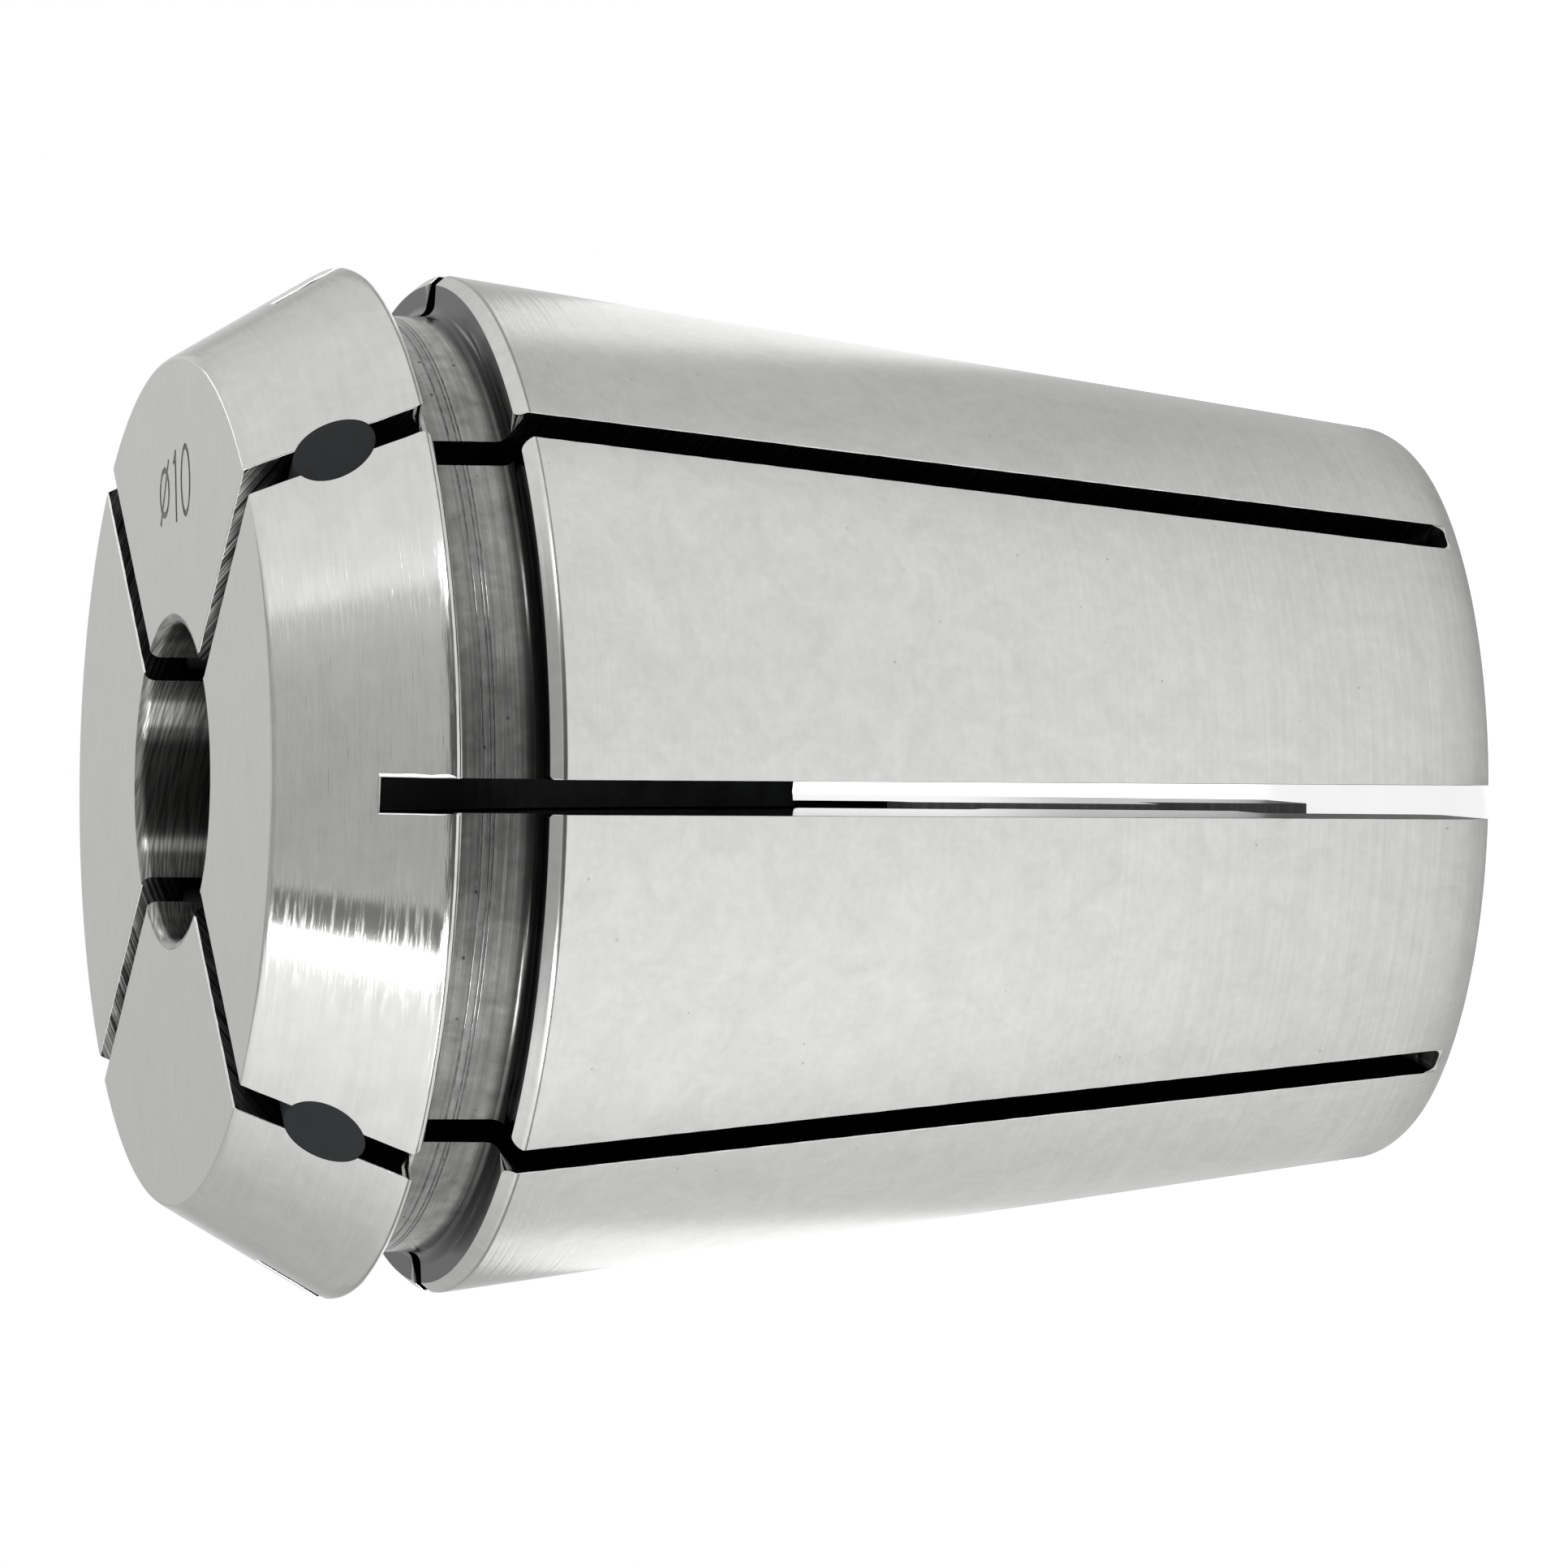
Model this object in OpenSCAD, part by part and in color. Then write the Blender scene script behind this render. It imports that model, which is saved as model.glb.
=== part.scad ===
/* [Body] */
// Length from the front face to the small rear face
body_l = 40; // [38:0.5:46]
// Largest diameter, at the back edge of the nose cone
body_d = 33; // [32:0.1:36]
// Length of the nose cone, from the front face to its back edge
nose_l = 5.3; // [4.5:0.1:6]
// Half angle of the nose cone, in degrees
nose_angle = 30; // [25:1:35]
// Rounding of the nose cone's back edge
nose_round = 0.18; // [0.1:0.02:0.4]
// Break of the sharp edge between the front face and the nose cone
face_break = 0.06; // [0.02:0.02:0.2]

/* [Nut groove] */
// Width of the groove that the clamping nut's ring snaps into
groove_w = 2.9; // [2.3:0.1:3.5]
// Depth of the groove's floor below the nose cone's back edge
groove_depth = 1.65; // [1.3:0.05:2.2]
// Radius of the fillets between the groove's floor and its two walls
groove_fillet = 0.4; // [0.2:0.05:0.6]

/* [Taper] */
// Half angle of the outer taper, in degrees
taper_angle = 8; // [7:0.5:9]
// Step down from the nose cone's back edge to the taper, at the shoulder
taper_step = 0.28; // [0.1:0.02:0.6]
// Length of the chamfer on the taper's front edge
lead_l = 0.38; // [0.2:0.02:0.6]
// Angle of that chamfer to the axis, in degrees
lead_angle = 40; // [30:1:50]
// Radius of the rounded rear edge
rear_round = 1.2; // [0.9:0.1:2]
// Length of the rounded rear edge
rear_round_l = 0.73; // [0.4:0.01:0.85]

/* [Clamping bore] */
// Diameter of the bore that grips the shank
bore_d = 10; // [9:0.5:12]
// Depth of the bore from the front face
bore_l = 25; // [20:0.5:26]
// Chamfer at the bore's mouth
bore_chamfer = 0.2; // [0.1:0.05:0.5]

/* [Square drive] */
// Width across the flats of the square that drives the shank's end
square_w = 8; // [6.5:0.1:8.6]
// Length of the square
square_l = 9; // [7:0.5:10]
// Diameter that the square's corners are cut to
square_corner_d = 10.7; // [10:0.1:11.5]
// Half angle of the drilled cone between the bore and the square, in degrees
lead_in_angle = 59; // [45:1:65]
// Diameter of the relief bore behind the square
relief_d = 13; // [12.5:0.1:15]
// Chamfer at the relief bore's mouth
relief_chamfer = 0.5; // [0.2:0.1:0.8]

/* [Slots] */
// Width of the sawn slots
slot_w = 1.06; // [0.8:0.02:1.4]
// Diameter of the saw that cuts the slots
saw_d = 80; // [63:1:100]
// Depth that the saw reaches past the flats of the square
saw_overcut = 1.1; // [0.6:0.1:1.4]
// Distance from the front face to the end of the slots that are open at the rear
front_web = 2.95; // [2.4:0.05:4]
// Distance from the rear face to the end of the slots that are open at the front
rear_web = 0.4; // [0.35:0.05:1.2]

/* [Seal plugs] */
// Diameter of the rubber plugs in the nose cone
plug_d = 2.36; // [2:0.02:2.8]
// Distance from the front face to the plugs' axis
plug_place = 2.55; // [2.1:0.05:3]
// Wall left between the plugs' holes and the clamping bore
plug_wall = 0.5; // [0.3:0.1:1.5]

/* [Hidden] */
$fn = 96;
// Each flat of the square has one rear slot, and each corner one front slot
slot_n = 4;
slot_pitch = 360 / slot_n;
// Segments in each small rounding of the outline
round_steps = 6;
// Cutters run past the faces that they open
past = 1;

// Heights are measured from the rear face, which the collet stands on
nose_back_z = body_l - nose_l;
shoulder_z = nose_back_z - groove_w;
bore_end_z = body_l - bore_l;
relief_l = bore_end_z - square_l;

body_r = body_d / 2;
groove_r = body_r - groove_depth;
bore_r = bore_d / 2;
face_r = body_r - nose_l * tan(nose_angle);
lead_z = shoulder_z - lead_l;
lead_r = taper_r(lead_z) - lead_l * tan(lead_angle);
lead_in_l = (bore_r - square_w / 2) / tan(lead_in_angle);

saw_r = saw_d / 2;
saw_floor_r = square_w / 2 - saw_overcut;
saw_axis_r = saw_floor_r + saw_r;
// Heights of the saw's axis when it stops in a rear slot and in a front slot
rear_saw_z = body_l - front_web - saw_reach(cone_r(body_l - front_web));
front_saw_z = rear_web + saw_reach(taper_r(rear_web));

// Radius of the taper at a height
function taper_r(z) = body_r - taper_step - (shoulder_z - z) * tan(taper_angle);

// Radius of the nose cone at a height
function cone_r(z) = face_r + (body_l - z) * tan(nose_angle);

// Distance along the axis from the saw's axis to its rim at a radius of the collet
function saw_reach(r) = sqrt(saw_r * saw_r - pow(saw_axis_r - r, 2));

// Points of an arc, from one angle to another
function arc(centre, r, from, to) =
    [for (i = [0:round_steps]) let (a = from + (to - from) * i / round_steps) centre + r * [cos(a), sin(a)]];

// Rounded rear edge: it leaves the taper smoothly and ends in a corner on the rear face
function rear_edge() =
    let (
        centre = [taper_r(rear_round_l), rear_round_l] - rear_round * [cos(taper_angle), -sin(taper_angle)],
        end = asin(-centre[1] / rear_round)
    )
    arc(centre, rear_round, end, -taper_angle);

// Fillets at the foot of the groove's two walls
function groove_rear_fillet() =
    arc([groove_r + groove_fillet, shoulder_z + groove_fillet], groove_fillet, 270, 180);
function groove_front_fillet() =
    arc([groove_r + groove_fillet, nose_back_z - groove_fillet], groove_fillet, 180, 90);

// Rounding of the nose cone's back edge, tangent to the groove's wall and to the cone
function nose_edge() =
    let (
        angle = 90 - nose_angle,
        tangent = nose_round / tan(angle / 2),
        centre = [body_r - tangent, nose_back_z + nose_round]
    )
    arc(centre, nose_round, 270, 360 + nose_angle);

// Half section of the collet before anything is cut out of it
module outline() {
    polygon(concat(
        [[0, 0]],
        rear_edge(),
        [[taper_r(lead_z), lead_z], [lead_r, shoulder_z]],
        groove_rear_fillet(),
        groove_front_fillet(),
        nose_edge(),
        [[cone_r(body_l - face_break), body_l - face_break]],
        [[face_r - face_break, body_l]],
        [[0, body_l]]
    ));
}

// Solid of the nose cone alone, which also ends the plugs flush with its surface
module nose_cone() {
    translate([0, 0, nose_back_z])
        cylinder(r1 = body_r, r2 = face_r, h = nose_l);
}

// Bore, square and relief that run through the collet from front to rear
module through_hole() {
    translate([0, 0, bore_end_z])
        cylinder(d = bore_d, h = bore_l + past);
    translate([0, 0, body_l - bore_chamfer])
        cylinder(r1 = bore_r, r2 = bore_r + bore_chamfer + past, h = bore_chamfer + past);
    translate([0, 0, bore_end_z - lead_in_l])
        cylinder(r1 = square_w / 2, r2 = bore_r, h = lead_in_l);
    square_hole();
    translate([0, 0, -past])
        cylinder(d = relief_d, h = relief_l + past);
    translate([0, 0, -past])
        cylinder(r1 = relief_d / 2 + relief_chamfer + past, r2 = relief_d / 2, h = relief_chamfer + past);
}

module square_hole() {
    translate([0, 0, relief_l - past]) {
        intersection() {
            translate([-square_w / 2, -square_w / 2, 0])
                cube([square_w, square_w, square_l + past]);
            cylinder(d = square_corner_d, h = square_l + past);
        }
    }
}

// Path of the saw in one slot: its disc where it stops, and the way in from one end
module saw_path(axis_z, open_z) {
    low_z = min(axis_z, open_z);
    high_z = max(axis_z, open_z);
    rotate([90, 0, 0]) {
        linear_extrude(height = slot_w, center = true) {
            translate([saw_axis_r, axis_z])
                circle(r = saw_r, $fn = 180);
            translate([saw_floor_r, low_z])
                square([saw_r, high_z - low_z]);
        }
    }
}

module rear_slots() {
    for (i = [0:slot_n - 1]) {
        rotate([0, 0, i * slot_pitch])
            saw_path(rear_saw_z, -past);
    }
}

module front_slots() {
    for (i = [0:slot_n - 1]) {
        rotate([0, 0, (i + 0.5) * slot_pitch])
            saw_path(front_saw_z, body_l + past);
    }
}

// Blind radial hole for one plug, or the plug's own cylinder
module plug_bore(index, to_r) {
    rotate([0, 0, (index + 0.5) * slot_pitch])
        translate([bore_r + plug_wall, 0, body_l - plug_place])
            rotate([0, 90, 0])
                cylinder(d = plug_d, h = to_r - bore_r - plug_wall);
}

module collet_body() {
    color("silver") {
        difference() {
            rotate_extrude($fn = 180)
                outline();
            through_hole();
            rear_slots();
            front_slots();
            for (i = [0:slot_n - 1]) {
                plug_bore(i, body_r + past);
            }
        }
    }
}

module seal_plug(index) {
    color("dimgray") {
        intersection() {
            plug_bore(index, body_r + past);
            nose_cone();
        }
    }
}

collet_body();
seal_plug(0);  // seal_plug_1
seal_plug(1);  // seal_plug_2
seal_plug(2);  // seal_plug_3
seal_plug(3);  // seal_plug_4
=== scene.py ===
import math

import bmesh
import bpy
import numpy as np
from mathutils import Matrix, Vector


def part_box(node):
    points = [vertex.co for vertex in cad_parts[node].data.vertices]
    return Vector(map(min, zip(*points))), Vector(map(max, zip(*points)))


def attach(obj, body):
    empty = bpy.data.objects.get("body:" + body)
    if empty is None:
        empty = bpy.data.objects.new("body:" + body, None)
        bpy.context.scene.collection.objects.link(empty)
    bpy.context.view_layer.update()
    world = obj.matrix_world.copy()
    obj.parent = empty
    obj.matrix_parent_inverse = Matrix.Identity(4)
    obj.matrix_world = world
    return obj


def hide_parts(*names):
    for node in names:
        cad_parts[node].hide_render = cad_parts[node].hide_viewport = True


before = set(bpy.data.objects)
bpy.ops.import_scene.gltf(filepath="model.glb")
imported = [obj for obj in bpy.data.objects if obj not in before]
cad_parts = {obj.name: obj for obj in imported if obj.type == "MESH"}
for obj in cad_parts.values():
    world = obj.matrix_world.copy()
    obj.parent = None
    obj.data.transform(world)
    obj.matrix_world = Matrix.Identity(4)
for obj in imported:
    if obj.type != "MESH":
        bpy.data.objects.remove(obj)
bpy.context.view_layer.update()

# Sizes of the collet in millimetres; its length is read from the frame
MM = 0.001
cad_low, cad_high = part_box("collet_body")
body_l = round((cad_high[2] - cad_low[2]) / MM, 3)
body_r = 16.5
nose_l = 5.3
nose_angle = 30
nose_round = 0.18
groove_w = 2.9
groove_r = body_r - 1.65
groove_fillet = 0.4
taper_angle = 8
taper_step = 0.28
lead_l = 0.38
lead_angle = 40
rear_round = 1.2
rear_round_l = 0.73
bore_r = 5.0
bore_chamfer = 0.32
square_half = 4.0
square_l = 9.0
square_corner_r = 5.35
lead_in_angle = 59
relief_r = 6.5
relief_l = 6.0
relief_chamfer = 0.5
slot_w = 1.06
saw_r = 40.0
saw_floor_r = 2.9
front_web = 2.95
rear_web = 0.4
plug_r = 1.18
plug_place = 2.55
plug_inner_r = 5.5

# Heights and radii that follow from them
nose_slope = math.tan(math.radians(nose_angle))
nose_back_z = body_l - nose_l
shoulder_z = nose_back_z - groove_w
bore_end_z = relief_l + square_l
face_r = body_r - nose_l * nose_slope
lead_z = shoulder_z - lead_l
lead_in_l = (bore_r - square_half) / math.tan(math.radians(lead_in_angle))
saw_axis_r = saw_floor_r + saw_r
# Middle radius of the taper and the nose cone, at which their patterns have their true length
pattern_r = 14.0

# Small shapes that the finishing and the wear leave: millimetres, degrees, and slopes as a ratio
wide_lip = 0.18
narrow_lip = 0.08
taper_lip = 0.05
groove_lip = 0.03
face_lip = 0.06
lip_step = 0.45
lead_round = 0.25
back_roll_r = 2.6
back_roll = 8
front_roll_r = 0.9
front_roll = 12
front_break = 0.1
front_corner_r = 0.35
rear_corner_r = 0.14
front_rim_round = 0.3
rear_rim_round = 0.05
saw_mark_pitch = 0.2
saw_mark_slope = 0.45
hone_slope = 0.2
tool_line_w = 0.07
tool_line_slope = 35
TOOL_LINES = (33.31, 33.43, 33.68)

# How finely the body is modelled: columns round it, and two of them beside each slot
SLOTS = 4
SLOT_DIRECTIONS = 8
HALF_COLUMNS = 16
LANES = 2
LANE_W = 0.4


def taper_r(z):
    return body_r - taper_step - (shoulder_z - z) * math.tan(math.radians(taper_angle))


def cone_r(z):
    return face_r + (body_l - z) * nose_slope


def saw_reach(r):
    return math.sqrt(saw_r ** 2 - (saw_axis_r - r) ** 2)


def sine(angle):
    return math.sin(math.radians(angle))


def direction(angle):
    return Vector((math.cos(math.radians(angle)), math.sin(math.radians(angle))))


def linear(hex_colour):
    """Linear colour of an sRGB hex value."""
    parts = [int(hex_colour[i:i + 2], 16) / 255 for i in (1, 3, 5)]
    return tuple(c / 12.92 if c <= 0.04045 else ((c + 0.055) / 1.055) ** 2.4 for c in parts) + (1.0,)


def add(tree, kind, inputs=None, output=0, **settings):
    """Adds one node with its settings, links or sets its inputs, and gives an output, or all for None.

    Inputs go by name or number: 1 and 2 of a Map Range node are the ends of what it takes in, 3 and 4
    of what it gives, and 6 and 7 of a Mix node are its two colours.
    """
    node = tree.nodes.new(kind)
    for name, value in settings.items():
        setattr(node, name, value)
    for key, value in (inputs or {}).items():
        for item in value if isinstance(value, list) else [value]:
            if isinstance(item, bpy.types.NodeSocket):
                tree.links.new(item, node.inputs[key])
            else:
                node.inputs[key].default_value = item
    return node.outputs if output is None else node.outputs[output]


def placed(name, data):
    """A new object in the scene for this mesh, lamp or camera."""
    obj = bpy.data.objects.new(name, data)
    bpy.context.collection.objects.link(obj)
    return obj


# Materials

GROUND_STEEL = "#d6d6d4"


def surface(name, roughness, metallic=1.0, anisotropic=0.0):
    """A new material with its shader's plain values; the patterns are added to its tree."""
    material = bpy.data.materials.new(name)
    material.use_nodes = True
    shader = material.node_tree.nodes["Principled BSDF"]
    shader.inputs["Metallic"].default_value = metallic
    shader.inputs["Roughness"].default_value = roughness
    shader.inputs["Anisotropic"].default_value = anisotropic
    return material, material.node_tree, shader


def millimetres(tree):
    """Object coordinates in millimetres."""
    place = add(tree, "ShaderNodeTexCoord", output="Object")
    return add(tree, "ShaderNodeVectorMath", {0: place, "Scale": 1 / MM}, operation="SCALE")


def lathe_coordinates(tree, place, radius, long, wide):
    """Coordinates for a noise whose features run round the axis, so long and so wide in millimetres."""
    x, y, z = add(tree, "ShaderNodeSeparateXYZ", {0: place}, output=None)
    flat = add(tree, "ShaderNodeCombineXYZ", {0: x, 1: y})
    unit = add(tree, "ShaderNodeVectorMath", {0: flat}, operation="NORMALIZE")
    turn = add(tree, "ShaderNodeVectorMath", {0: unit, "Scale": radius / long}, operation="SCALE")
    rise = add(tree, "ShaderNodeMath", {0: z, 1: 1 / wide}, operation="MULTIPLY")
    lift = add(tree, "ShaderNodeCombineXYZ", {2: rise})
    return add(tree, "ShaderNodeVectorMath", {0: turn, 1: lift})


def axis_distance(tree, x, y):
    """Distance from the collet's axis, in the unit of x and y."""
    flat = add(tree, "ShaderNodeCombineXYZ", {0: x, 1: y})
    return add(tree, "ShaderNodeVectorMath", {0: flat}, operation="LENGTH", output="Value")


def tinted(tree, shader, colour, factors):
    """Base colour of the surface, darkened by every factor in the list."""
    shade = factors[0]
    for factor in factors[1:]:
        shade = add(tree, "ShaderNodeMath", {0: shade, 1: factor}, operation="MULTIPLY")
    tint = add(tree, "ShaderNodeVectorMath", {0: linear(colour)[:3], "Scale": shade}, operation="SCALE")
    tree.links.new(tint, shader.inputs["Base Color"])


def clouds(tree, place, size, low, high, distortion=0.0):
    """Soft patches of about this size in millimetres, between a low and a high value."""
    noise = add(tree, "ShaderNodeTexNoise", {
        "Vector": place, "Scale": 1 / size, "Detail": 5.0, "Roughness": 0.6, "Distortion": distortion})
    return add(tree, "ShaderNodeMapRange", {"Value": noise, 1: 0.3, 2: 0.7, 3: low, 4: high})


def pits(tree, place, pitch, radius, depth):
    """Dark dots of this radius in millimetres, about one to each cube of this pitch."""
    near = add(tree, "ShaderNodeTexVoronoi", {"Vector": place, "Scale": 1 / pitch}, output="Distance")
    return add(tree, "ShaderNodeMapRange", {
        "Value": near, 1: 0.5 * radius / pitch, 2: 1.2 * radius / pitch, 3: 1 - depth, 4: 1.0})


def ground_taper():
    """Hardened tool steel, cylindrically ground and lapped, so reflections are soft and even.

    Handling leaves faint wipe marks and pits of 0.1 mm. The wheel's lines show near the rear edge,
    drawn 0.14 mm wide, because the real ones are too fine to show.
    """
    material, tree, shader = surface("ground_taper_steel", 0.2)
    place = millimetres(tree)
    z = add(tree, "ShaderNodeSeparateXYZ", {0: place}, output=2)
    wiped = clouds(tree, place, 1.6, 0.93, 1.03, 1.2)
    grain = clouds(tree, place, 0.3, 0.965, 1.03)
    lines = clouds(tree, lathe_coordinates(tree, place, pattern_r, 9.0, 0.14), 1.0, -0.05, 0.05)
    rearward = add(tree, "ShaderNodeMapRange", {"Value": z, 1: 0.6 * body_l, 2: 0.05 * body_l})
    wheel = add(tree, "ShaderNodeMath", {0: lines, 1: rearward, 2: 1.0}, operation="MULTIPLY_ADD")
    tinted(tree, shader, GROUND_STEEL, [wiped, grain, wheel, pits(tree, place, 1.15, 0.05, 0.3)])
    around = lathe_coordinates(tree, place, pattern_r, 7.0, 0.15)
    height = add(tree, "ShaderNodeTexNoise", {"Vector": around, "Scale": 1.0, "Detail": 3.0})
    bump = add(tree, "ShaderNodeBump", {"Height": height, "Strength": 0.3, "Distance": 0.015 * MM})
    tree.links.new(bump, shader.inputs["Normal"])
    return material


def ground_nose():
    """The cone that the clamping nut bears on: ground with a coarser wheel and polished by the nut.

    Scratches about 1.3 mm long run round the axis, and draw out the edges of reflections. They are
    drawn 0.08 mm wide, several times as wide as the real ones, so that they show.
    """
    material, tree, shader = surface("ground_nose_steel", 0.1)
    place = millimetres(tree)
    streaks = clouds(tree, lathe_coordinates(tree, place, pattern_r, 2.4, 0.22), 1.0, 0.965, 1.03)
    tinted(tree, shader, GROUND_STEEL, [clouds(tree, place, 1.1, 0.95, 1.03, 0.8), streaks])
    noise = add(tree, "ShaderNodeTexNoise", {
        "Vector": lathe_coordinates(tree, place, pattern_r, 1.3, 0.08), "Scale": 1.0,
        "Detail": 2.0, "Roughness": 0.5})
    scratches = add(tree, "ShaderNodeMapRange", {"Value": noise, 1: 0.48, 2: 0.66})
    rough = add(tree, "ShaderNodeMapRange", {"Value": scratches, 3: 0.1, 4: 0.2})
    tree.links.new(rough, shader.inputs["Roughness"])
    bump = add(tree, "ShaderNodeBump", {"Height": scratches, "Strength": 1.0, "Distance": 0.0016 * MM})
    tree.links.new(bump, shader.inputs["Normal"])
    return material


def ground_face():
    """The two end faces, ground flat: an even grey, with straight lines.

    The lines are drawn a quarter of a millimetre apart and faint, because the real ones are too
    fine to show.
    """
    material, tree, shader = surface("ground_face_steel", 0.25)
    line_size = 0.4
    place = millimetres(tree)
    stretched = add(tree, "ShaderNodeVectorMath", {0: place, 1: (0.35, 1.6, 1.0)}, operation="MULTIPLY")
    lines = clouds(tree, stretched, 0.5, 0.975, 1.02)
    tinted(tree, shader, GROUND_STEEL, [lines, clouds(tree, place, 2.5, 0.98, 1.02)])
    height = add(tree, "ShaderNodeTexNoise", {
        "Vector": stretched, "Scale": 1 / line_size, "Detail": 4.0})
    bump = add(tree, "ShaderNodeBump", {"Height": height, "Strength": 0.3, "Distance": 0.006 * MM})
    tree.links.new(bump, shader.inputs["Normal"])
    return material


def turned_groove():
    """The nut's groove, left as it was turned and hardened: a dark sheen with the tool's lines.

    The corner under the shoulder is nearly black with painted shade, and small dark specks lie over the
    floor.
    """
    material, tree, shader = surface("turned_groove_steel", 0.2)
    place = millimetres(tree)
    z = add(tree, "ShaderNodeSeparateXYZ", {0: place}, output=2)
    lines = clouds(tree, lathe_coordinates(tree, place, groove_r, 25.0, 0.16), 1.0, 0.72, 1.15)
    stains = clouds(tree, place, 0.9, 0.7, 1.15, 0.6)
    # Painted shade: the floor darkens to nearly black towards the corner under the shoulder
    corner = add(tree, "ShaderNodeMapRange", {
        "Value": z, 1: shoulder_z + 0.2, 2: shoulder_z + 0.8, 3: 0.02, 4: 1.0})
    tinted(tree, shader, "#d8d8d6", [lines, stains, corner, pits(tree, place, 0.8, 0.07, 0.75)])
    around = lathe_coordinates(tree, place, groove_r, 9.0, 0.2)
    height = add(tree, "ShaderNodeTexNoise", {"Vector": around, "Scale": 1.0, "Detail": 4.0})
    bump = add(tree, "ShaderNodeBump", {"Height": height, "Strength": 0.5, "Distance": 0.02 * MM})
    tree.links.new(bump, shader.inputs["Normal"])
    return material


def cloudy_steel(name, roughness, colour, size, low, high):
    """Steel with no more than soft patches of this size, between a low and a high brightness."""
    material, tree, shader = surface(name, roughness)
    tinted(tree, shader, colour, [clouds(tree, millimetres(tree), size, low, high)])
    return material


def honed_bore():
    """The clamping bore, honed: its scratches run round it and draw each light out along the axis.

    They lean a little, as a hone's do, and are drawn 0.07 mm wide, wider than the real ones, so that
    they show. Below the mouth painted shade darkens the bore towards black, the deeper it goes.
    """
    material, tree, shader = surface("honed_bore_steel", 0.26, anisotropic=1.0)
    shader.inputs["Anisotropic Rotation"].default_value = 0.25
    tangent = add(tree, "ShaderNodeTangent", direction_type="RADIAL", axis="Z")
    tree.links.new(tangent, shader.inputs["Tangent"])
    x, y, z = add(tree, "ShaderNodeSeparateXYZ", {0: millimetres(tree)}, output=None)
    # Painted shade: the bore is darkened from just inside its mouth to nearly black 3.6 mm in
    oiled = add(tree, "ShaderNodeMapRange", {
        "Value": z, 1: body_l - 3.6, 2: body_l - 0.3, 3: 0.05, 4: 1.6})
    lifted = add(tree, "ShaderNodeMath", {0: x, 1: hone_slope, 2: z}, operation="MULTIPLY_ADD")
    leaning = add(tree, "ShaderNodeCombineXYZ", {0: x, 1: y, 2: lifted})
    around = lathe_coordinates(tree, leaning, bore_r, 1.3, 0.07)
    scratches = add(tree, "ShaderNodeTexNoise", {"Vector": around, "Scale": 1.0, "Detail": 1.0})
    streaks = add(tree, "ShaderNodeMapRange", {"Value": scratches, 1: 0.38, 2: 0.62, 3: 0.5, 4: 1.2})
    tinted(tree, shader, "#7c7c7a", [streaks, oiled])
    bump = add(tree, "ShaderNodeBump", {"Height": scratches, "Strength": 1.0, "Distance": 0.002 * MM})
    tree.links.new(bump, shader.inputs["Normal"])
    return material


def sawn_wall():
    """Walls of the slots cut from the front, as the saw left them: grey, with its feed marks slanting.

    Painted shade darkens the walls that face +x, and all walls near the bore and away from the front face.
    """
    material, tree, shader = surface("sawn_slot_steel", 0.5)
    place = millimetres(tree)
    x, y, z = add(tree, "ShaderNodeSeparateXYZ", {0: place}, output=None)
    r = axis_distance(tree, x, y)
    fed = add(tree, "ShaderNodeMath", {0: r, 1: saw_mark_slope, 2: z}, operation="MULTIPLY_ADD")
    arcs = add(tree, "ShaderNodeTexNoise", {
        "W": fed, "Scale": 1 / saw_mark_pitch, "Detail": 3.0, "Roughness": 0.7},
        noise_dimensions="1D")
    marks = add(tree, "ShaderNodeMapRange", {"Value": arcs, 1: 0.38, 2: 0.62, 3: 0.15, 4: 1.6})
    # Painted shade: walls facing +x darken to 0.12, and all walls near the bore to 0.15 and away from the
    # front face to 0.05
    normal = add(tree, "ShaderNodeNewGeometry", output="Normal")
    facing = add(tree, "ShaderNodeSeparateXYZ", {0: normal})
    side = add(tree, "ShaderNodeMapRange", {"Value": facing, 1: -0.3, 2: 0.3, 3: 1.0, 4: 0.12})
    inner = add(tree, "ShaderNodeMapRange", {"Value": r, 1: bore_r, 2: 1.5 * bore_r, 3: 0.15, 4: 1.0})
    lower = add(tree, "ShaderNodeMapRange", {
        "Value": z, 1: body_l - 1.3, 2: body_l - 0.3, 3: 0.05, 4: 1.0})
    tinted(tree, shader, "#c8c8c6", [marks, side, inner, lower, clouds(tree, place, 1.2, 0.4, 1.2, 0.5)])
    bump = add(tree, "ShaderNodeBump", {"Height": arcs, "Strength": 0.7, "Distance": 0.05 * MM})
    tree.links.new(bump, shader.inputs["Normal"])
    return material


def bored_steel():
    """Drilled, broached and bored surfaces inside, bright but unpolished, with rings from the drill."""
    material, tree, shader = surface("bored_steel", 0.34)
    place = millimetres(tree)
    rings = clouds(tree, lathe_coordinates(tree, place, relief_r, 12.0, 0.2), 1.0, 0.7, 1.1)
    tinted(tree, shader, "#9c9d9c", [rings])
    return material


def seal_rubber():
    """Moulded nitrile rubber: dark grey, matt, with a fine grain from the mould, and darkened inside with
    painted shade.
    """
    material, tree, shader = surface("moulded_nitrile_rubber", 0.62, metallic=0.0)
    shader.inputs["Specular IOR Level"].default_value = 0.3
    grain_size = 1 / 6
    place = millimetres(tree)
    x, y, _ = add(tree, "ShaderNodeSeparateXYZ", {0: place}, output=None)
    # Painted shade: the plug darkens towards the axis, where it lies inside the slot
    oiled = add(tree, "ShaderNodeMapRange", {
        "Value": axis_distance(tree, x, y), 1: 8.0, 2: 12.0, 3: 0.1, 4: 1.0})
    tinted(tree, shader, "#1c1e20", [clouds(tree, place, 0.6, 0.85, 1.15), oiled])
    grain = add(tree, "ShaderNodeTexNoise", {"Vector": place, "Scale": 1 / grain_size, "Detail": 3.0})
    bump = add(tree, "ShaderNodeBump", {"Height": grain, "Strength": 0.3, "Distance": 0.02 * MM})
    tree.links.new(bump, shader.inputs["Normal"])
    return material


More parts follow.
